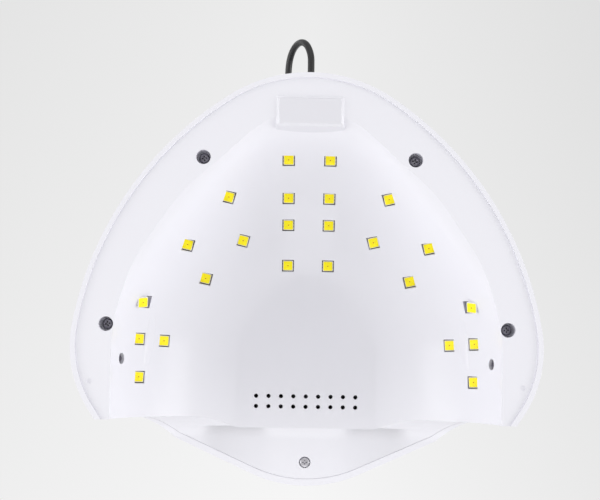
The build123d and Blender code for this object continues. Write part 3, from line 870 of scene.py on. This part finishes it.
def makeChips():
    templates = {"phosphor": chipPad(), "package": chipPackage(), "leads": chipLeads(), "die": chipDie()}
    handSpace = Vector((0, -0.028, 0))
    total = 0
    for name in sorted(nodes):
        if not name.startswith("led_chips_"):
            continue
        group = name[len("led_chips_"):]
        spots = [boxFrame(corners, handSpace) for corners in loosePieces(name)]
        if group.startswith("side"):
            spots = [settleSideChip(spot) for spot in spots]
        total += len(spots)
        for part, template in templates.items():
            finish = finishes["tin" if part == "leads" else part]
            piece = setCopies(f"chip_{part}_{group}", template, spots, finish)
            replaced = [name] if part == "phosphor" else []
            place(piece, "lamp", "led_yellow", *replaced)
    for template in templates.values():
        bpy.data.objects.remove(template)
    print("LED chips:", total)


makeChips()


# Housing screws: pan heads with a cross recess and a threaded shank

screw = {
    "headRadius": 2.6,
    "headHeight": 1.9,
    "shankRadius": 1.25,
    "threadDepth": 0.28,
    "threadPitch": 1.1,
    "recessWidth": 0.75,
    "recessReach": 1.55,
    "recessDepth": 1.25,
    "recessDraft": (0.35, 0.7),
    "recessAbove": 0.3,
    "segments": 32,
    "flat": 0.30,
    "crown": 0.75,
    "crownStart": 0.12,
    "crownHeight": 0.85,
    "crownSteps": 5,
    "skirt": 0.15,
    "skirtInset": 0.12,
    "neck": 0.02,
    "threadStart": 0.3,
    "threadStop": 1.5,
    "threadSteps": 8,
    "tipShare": 0.8,
    "tipLength": 1.2,
    "tipRadius": 0.25,
}


def latheRings(profile):
    around = circle(screw["segments"])
    return [ringAt([(radius * x, radius * y) for x, y in around], z) for radius, z in profile]


def headProfile():
    radius, height, crown = screw["headRadius"], screw["headHeight"], screw["crown"]
    profile = [(radius * screw["flat"], -height)]
    for step in range(screw["crownSteps"] + 1):
        angle = math.pi / 2 * step / screw["crownSteps"]
        rise = screw["crownStart"] + screw["crownHeight"] * (1 - math.cos(angle))
        profile.append((radius - crown + crown * math.sin(angle), -height + rise))
    profile.append((radius, -screw["skirt"]))
    profile.append((radius - screw["skirtInset"], 0.0))
    profile.append((screw["shankRadius"], screw["neck"]))
    return profile


def threadRings(length):
    rings = []
    long = length - screw["threadStop"]
    steps = int(long / screw["threadPitch"] * screw["threadSteps"])
    for step in range(steps):
        z = screw["threadStart"] + long * step / steps
        points = []
        for i, (x, y) in enumerate(circle(screw["segments"])):
            phase = (z / screw["threadPitch"] - i / screw["segments"]) % 1.0
            crest = max(0.0, 1 - abs(phase - 0.5) * 4)
            reach = screw["shankRadius"] + screw["threadDepth"] * crest
            points.append((reach * x, reach * y))
        rings.append(ringAt(points, z))
    return rings


def crossCutter():
    bm = bmesh.new()
    reach, width, height = screw["recessReach"], screw["recessWidth"] / 2, screw["headHeight"]
    inReach, inWidth = screw["recessDraft"]
    for turn in (0, math.pi / 2):
        spin = Matrix.Rotation(turn, 3, "Z")
        wide = [(x * reach, y * width) for x, y in square]
        narrow = [(x * inReach, y * inWidth) for x, y in wide]
        rings = [ringAt(wide, -height - screw["recessAbove"]), ringAt(narrow, -height + screw["recessDepth"])]
        stackRings(bm, [[spin @ point for point in ring] for ring in rings])
    return solidObject("screwCross", bm)


def screwTemplate(length):
    bm = bmesh.new()
    tip = [
        (screw["shankRadius"] * screw["tipShare"], length - screw["tipLength"]),
        (screw["tipRadius"], length),
    ]
    stackRings(bm, latheRings(headProfile()) + threadRings(length) + latheRings(tip))
    body = solidObject("screwTemplate", bm)
    cross = crossCutter()
    cut = body.modifiers.new("cross", "BOOLEAN")
    cut.operation = "DIFFERENCE"
    cut.solver = "EXACT"
    cut.use_self = True
    cut.object = cross
    plainMesh(body)
    bpy.data.objects.remove(cross)
    return body


def makeScrews():
    rng = random.Random(11)
    islands = loosePieces("housing_screws")
    groups = {}
    for island in islands:
        low = Vector([min(point[axis] for point in island) for axis in range(3)])
        high = Vector([max(point[axis] for point in island) for axis in range(3)])
        spot = Matrix.Rotation(rng.uniform(0, math.pi), 4, "Z")
        spot.translation = ((low.x + high.x) / 2, (low.y + high.y) / 2, low.z + screw["headHeight"] * mm)
        length = round((high.z - low.z) / mm - screw["headHeight"], 1)
        groups.setdefault(length, []).append(spot)
    for length, spots in sorted(groups.items()):
        template = screwTemplate(length)
        # Rim screws take the darker copy, painted shade; the single nose screw takes the lighter copy,
        # painted light
        if len(spots) > 1:
            kind, finish, replaced = "rim", "screw", ["housing_screws"]
        else:
            kind, finish, replaced = "nose", "noseScrewLit", []
        piece = setCopies(f"screws_{kind}", template, spots, finishes[finish], smooth=35)
        place(piece, "lamp", "screw_dark", *replaced)
        bpy.data.objects.remove(template)
    print("screws:", len(islands))


makeScrews()


# Power lead: loop behind the rear, climb over the dome, tied coil and tail to the coupler

lead = {
    "diameter": 3.4,
    "route": [
        (0.0, 105.5, 30.0), (0.0, 111.2, 29.9), (0.1, 117.0, 30.3), (2.3, 123.1, 33.9),
        (5.7, 125.4, 40.0), (9.2, 123.1, 46.1), (11.4, 117.0, 49.6), (11.8, 108.2, 50.5),
        (11.9, 99.3, 51.7), (11.9, 89.7, 54.1), (12.4, 78.3, 59.4), (13.0, 68.6, 69.2),
        (14.8, 57.8, 77.5), (17.3, 46.1, 84.2), (19.9, 34.4, 89.3), (22.2, 23.5, 92.9), (22.6, 12.4, 95.8),
    ],
    "tail": [
        (-22.7, 18.4, 101.4), (-24.4, 26.2, 97.0), (-31.6, 36.8, 89.9),
        (-36.1, 43.9, 84.0), (-37.1, 47.4, 80.6),
    ],
    "coilCentre": (0.0, 3.0),
    "coilRadius": 19.0,
    "coilHeight": 99.3,
    "pitch": 3.5,
    "cells": [(1, -1), (1, 0), (0, 0), (0, -1), (-1, -1), (-1, 0), (-1, 1), (0, 1), (1, 1)],
    "entryAngle": 22.6,
    "exitAngle": 158.3,
    "wholeTurns": 7,
    "pointsPerTurn": 18,
    "crossover": 48.0,
    "tieAngle": 215.0,
    "fan": 0.08,
    "fanLift": 0.3,
}


# The curve takes 3/4 of each point and 1/8 of both neighbours, so the points lie a little outside the coil
def coilPoints():
    total = lead["entryAngle"] + 360 - lead["exitAngle"] + 360 * lead["wholeTurns"]
    span = total / len(lead["cells"])
    step = 360 / lead["pointsPerTurn"]
    shrink = 0.75 + 0.25 * math.cos(math.radians(step))
    count = int(total / step)
    points = []
    for i in range(1, count + 1):
        travelled = total * i / (count + 1)
        index = min(int(travelled / span), len(lead["cells"]) - 1)
        left = span * (index + 1) - travelled
        column, row = lead["cells"][index]
        if left < lead["crossover"] and index + 1 < len(lead["cells"]):
            share = 1 - left / lead["crossover"]
            share = share * share * (3 - 2 * share)
            nextColumn, nextRow = lead["cells"][index + 1]
            column += (nextColumn - column) * share
            row += (nextRow - row) * share
        angle = math.radians(lead["entryAngle"] - travelled)
        away = (1 - math.cos(angle - math.radians(lead["tieAngle"]))) / 2
        pitch = lead["pitch"] * (1 + lead["fan"] * away)
        radius = (lead["coilRadius"] + column * pitch) / shrink
        x = lead["coilCentre"][0] + radius * math.cos(angle)
        y = lead["coilCentre"][1] + radius * math.sin(angle)
        points.append((x, y, lead["coilHeight"] + row * pitch + lead["fanLift"] * away * lead["fan"] * row))
    return points


def makeLead():
    points = lead["route"] + coilPoints() + lead["tail"]
    curve = bpy.data.curves.new("powerLead", "CURVE")
    curve.dimensions = "3D"
    curve.bevel_depth = lead["diameter"] / 2 * mm
    curve.bevel_resolution = 5
    curve.resolution_u = 6
    curve.use_fill_caps = True
    spline = curve.splines.new("NURBS")
    spline.points.add(len(points) - 1)
    for target, point in zip(spline.points, points):
        target.co = (*(Vector(point) * mm), 1)
    spline.use_endpoint_u = True
    spline.order_u = 3
    curve.materials.append(finishes["lead"])
    piece = addObject("powerLead", curve)
    return place(piece, "lamp", "lead_black", "dc_lead", "lead_coil", "lead_tail")


# Twisted pair of wires that ends the tie
twist = {
    "start": 6.2,
    "length": 7.5,
    "turns": 3.5,
    "rise": 2.2,
    "apart": 0.45,
    "radius": 0.42,
    "steps": 48,
    "sides": 8,
    "tilted": (0.31, 0.12, 0.94),
}


def sweepTube(bm, path, radius):
    rings = []
    for i, point in enumerate(path):
        before, after = path[max(i - 1, 0)], path[min(i + 1, len(path) - 1)]
        along = (after - before).normalized()
        across = along.cross(Vector(twist["tilted"])).normalized()
        up = across.cross(along)
        rings.append([point + radius * (x * across + y * up) for x, y in circle(twist["sides"])])
    stackRings(bm, rings)


def makeTieTwist():
    angle = math.radians(lead["tieAngle"])
    out, up = Vector((math.cos(angle), math.sin(angle), 0)), Vector((0, 0, 1))
    side = Vector((-out.y, out.x, 0))
    base = Vector((*lead["coilCentre"], lead["coilHeight"])) + out * (lead["coilRadius"] + twist["start"])
    bm = bmesh.new()
    for phase in (0, math.pi):
        path = []
        for step in range(twist["steps"] + 1):
            share = step / twist["steps"]
            turn = phase + 2 * math.pi * twist["turns"] * share
            swirl = twist["apart"] * (side * math.cos(turn) + up * math.sin(turn))
            middle = base + out * twist["length"] * share + up * twist["rise"] * share * share
            path.append((middle + swirl) * mm)
        sweepTube(bm, path, twist["radius"] * mm)
    piece = solidObject("tieTwist", bm, finishes["tie"], smooth=40)
    return place(piece, "lamp", "tie_black")


leadPiece = makeLead()
tieTwist = makeTieTwist()
print("power lead laid")


# Numbers on the time buttons, lying in their dished faces

button = {
    "top": 94.0,
    "dish": 0.4,
    "dishRadius": 40.0,
    "row": -45.0,
    "pitch": 15.0,
    "seconds": (10, 30, 60, 99),
    "number": {"size": 4.6, "up": 0.7},
    "unit": {"size": 2.8, "up": -2.6},
    "longest": 1.2,
    "ink": 0.04,
    "sunk": 0.02,
}


def textMesh(body, size):
    curve = bpy.data.curves.new("text", "FONT")
    curve.body = body
    curve.size = size
    curve.align_x = "CENTER"
    curve.align_y = "CENTER"
    holder = addObject("text", curve)
    mesh = finalMesh(holder)
    bpy.data.objects.remove(holder)
    return mesh


def makeButtonNumbers():
    radius = button["dishRadius"]
    for i, seconds in enumerate(button["seconds"]):
        x = (i - (len(button["seconds"]) - 1) / 2) * button["pitch"]
        bm = bmesh.new()
        for body, text in ((str(seconds), button["number"]), ("s", button["unit"])):
            part = textMesh(body, text["size"])
            part.transform(Matrix.Translation((0, text["up"], 0)))
            bm.from_mesh(part)
        longEdges = [edge for edge in bm.edges if edge.calc_length() > button["longest"]]
        bmesh.ops.subdivide_edges(bm, edges=longEdges, cuts=2)
        bmesh.ops.triangulate(bm, faces=bm.faces)
        lifted = bmesh.ops.extrude_face_region(bm, geom=list(bm.faces))["geom"]
        upper = {item for item in lifted if isinstance(item, bmesh.types.BMVert)}
        for vert in bm.verts:
            across = math.hypot(vert.co.x, vert.co.y)
            low = button["top"] - button["dish"] + radius - math.sqrt(radius ** 2 - across ** 2)
            z = low + (button["ink"] if vert in upper else -button["sunk"])
            vert.co = Vector((x + vert.co.x, button["row"] + vert.co.y, z)) * mm
        piece = solidObject(f"number_{seconds}s", bm, finishes["print"])
        place(piece, f"button_{seconds}s", "button_white")
    print("button numbers:", len(button["seconds"]))


makeButtonNumbers()


# Two seven-segment digits in the wells of the display module

digits = {
    "floor": 89.6,
    "thickness": 0.16,
    "row": -30.0,
    "spacing": 14.8,
    "width": 4.2,
    "height": 6.2,
    "bar": 0.75,
    "gap": 0.12,
    "slant": 6.0,
}


def segmentTemplate(length):
    half, width = length / 2, digits["bar"] / 2
    flat = half - width
    outline = [(-half, 0), (-flat, -width), (flat, -width), (half, 0), (flat, width), (-flat, width)]
    bm = bmesh.new()
    stackRings(bm, [ringAt(outline, z) for z in (0, digits["thickness"])])
    return meshObject("segmentTemplate", bm)


def makeDigits():
    across, up = digits["width"] / 2, digits["height"] / 4
    lean = math.tan(math.radians(digits["slant"]))
    level, upright = [], []
    for side in (-1, 1):
        middle = side * digits["spacing"] / 2
        for row in (-1, 0, 1):
            level.append((middle + 2 * row * up * lean, 2 * row * up, 0.0))
        for column in (-1, 1):
            for row in (-1, 1):
                upright.append((middle + column * across + row * up * lean, row * up, 90.0 - digits["slant"]))
    for name, spots, length in (("level", level, digits["width"] - digits["gap"]),
                                ("upright", upright, digits["height"] / 2 - digits["gap"])):
        template = segmentTemplate(length)
        matrices = []
        for x, y, angle in spots:
            matrix = Matrix.Rotation(math.radians(angle), 4, "Z")
            matrix.translation = Vector((x, digits["row"] + y, digits["floor"])) * mm
            matrices.append(matrix)
        piece = setCopies(f"digit_segments_{name}", template, matrices, finishes["segment"])
        place(piece, "lamp", "display_black")
        bpy.data.objects.remove(template)
    print("digit segments:", len(level) + len(upright))


makeDigits()


# Stage: pale floor that only the camera sees, from above; pale surroundings; soft lamps below and above

stage = {
    "floorHalf": 3.0,
    "floorDrop": 0.0003,
    "floorColour": (0.80, 0.80, 0.805),
    "softBelow": 0.195,
    "softAcross": 1.28,
    "softAbove": 0.40,
    "softScale": 2.0,
    "acrossFrom": 0.36,
    "acrossTo": 0.46,
    "aboveFrom": 0.52,
    "paleMiddle": 0.893,
    "paleLow": 0.70,
    "paleHigh": 0.93,
    "fallBack": -0.24,
    "fallAcross": -0.40,
    "leanAcross": 0.10,
}

# Each: place, height of the spot above the origin that it points at, size and power
lamps = {
    "belowFront": ((0.0, -0.85, -0.65), 0.03, 0.8, 1.6),
    "belowRear": ((0.0, 0.85, -0.65), 0.03, 0.8, 0.9),
    "belowRight": ((0.75, -0.1, -0.75), 0.03, 0.8, 0.9),
    "belowLeft": ((-0.75, -0.1, -0.75), 0.03, 0.8, 0.5),
    "lowRight": ((1.1, 0.0, -0.30), 0.03, 0.6, 2.8),
    "lowLeft": ((-1.1, 0.0, -0.30), 0.03, 0.6, 3.3),
    "aboveLeft": ((-0.9, -0.7, 1.3), 0.04, 0.9, 3.0),
    "aboveRight": ((1.0, 0.6, 1.2), 0.04, 0.9, 1.6),
}


def mixShaders(tree, share, first, second, output):
    mix = tree.nodes.new("ShaderNodeMixShader")
    for source, socket in zip((share, first.outputs[0], second.outputs[0]), mix.inputs):
        tree.links.new(source, socket)
    tree.links.new(mix.outputs[0], output.inputs["Surface"])


def makeFloor():
    material = bpy.data.materials.new("paleFloor")
    material.use_nodes = True
    tree = material.node_tree
    tree.nodes.clear()
    output = tree.nodes.new("ShaderNodeOutputMaterial")
    path = tree.nodes.new("ShaderNodeLightPath")
    side = tree.nodes.new("ShaderNodeNewGeometry")
    seen = calc(tree, "SUBTRACT", path.outputs["Is Camera Ray"], side.outputs["Backfacing"], clamp=True)
    matt = tree.nodes.new("ShaderNodeBsdfDiffuse")
    matt.inputs["Color"].default_value = (*stage["floorColour"], 1)
    clear = tree.nodes.new("ShaderNodeBsdfTransparent")
    mixShaders(tree, seen, clear, matt, output)
    bm = bmesh.new()
    half, z = stage["floorHalf"], -stage["floorDrop"]
    bm.faces.new([bm.verts.new((x * half, y * half, z)) for x, y in square])
    floor = meshObject("floor", bm, material)


def makeWorld():
    world = bpy.data.worlds.new("paleRoom")
    scene.world = world
    world.use_nodes = True
    tree = world.node_tree
    tree.nodes.clear()
    link = tree.links.new
    output = tree.nodes.new("ShaderNodeOutputWorld")
    coord = tree.nodes.new("ShaderNodeTexCoord")
    x, y, z = splitAxes(tree, coord.outputs["Generated"])

    # What the camera and mirror-like surfaces see
    level = calc(tree, "MULTIPLY_ADD", calc(tree, "ABSOLUTE", x), stage["fallAcross"], stage["paleMiddle"])
    level = calc(tree, "MULTIPLY_ADD", y, stage["fallBack"], level)
    level = calc(tree, "MULTIPLY_ADD", x, stage["leanAcross"], level)
    limit = tree.nodes.new("ShaderNodeClamp")
    limit.inputs["Min"].default_value = stage["paleLow"]
    limit.inputs["Max"].default_value = stage["paleHigh"]
    link(level, limit.inputs["Value"])
    pale = tree.nodes.new("ShaderNodeBackground")
    link(limit.outputs[0], pale.inputs["Color"])

    # What lights matt surfaces: a curve over height, kept in scaled-down values because it ends at 1
    slope = addNode(tree, "ShaderNodeFloatCurve")
    points = slope.mapping.curves[0].points
    scale = stage["softScale"]
    points[0].location = (0.0, stage["softBelow"] / scale)
    points[1].location = (1.0, stage["softAbove"] / scale)
    points.new(stage["acrossFrom"], stage["softAcross"] / scale)
    points.new(stage["acrossTo"], stage["softAcross"] / scale)
    points.new(stage["aboveFrom"], stage["softAbove"] / scale)
    for knot in points:
        knot.handle_type = "VECTOR"
    slope.mapping.update()
    link(calc(tree, "MULTIPLY_ADD", z, 0.5, 0.5), slope.inputs["Value"])
    soft = tree.nodes.new("ShaderNodeBackground")
    link(calc(tree, "MULTIPLY", slope.outputs[0], scale), soft.inputs["Color"])

    path = tree.nodes.new("ShaderNodeLightPath")
    through = calc(tree, "MAXIMUM", path.outputs["Is Camera Ray"], path.outputs["Is Transmission Ray"])
    mixShaders(tree, calc(tree, "MAXIMUM", through, path.outputs["Is Glossy Ray"]), soft, pale, output)


def makeLamps():
    for name, (spot, aim, size, power) in lamps.items():
        data = bpy.data.lights.new(name, "AREA")
        data.shape = "DISK"
        data.size = size
        data.energy = power
        holder = addObject(name, data)
        holder.location = spot
        towards = Vector((0, 0, aim)) - Vector(spot)
        holder.rotation_euler = towards.to_track_quat("-Z", "Y").to_euler()
        holder.visible_camera = False


makeFloor()
makeWorld()
makeLamps()
scene.view_settings.view_transform = "Standard"
print("stage ready, lamps:", len(lamps))
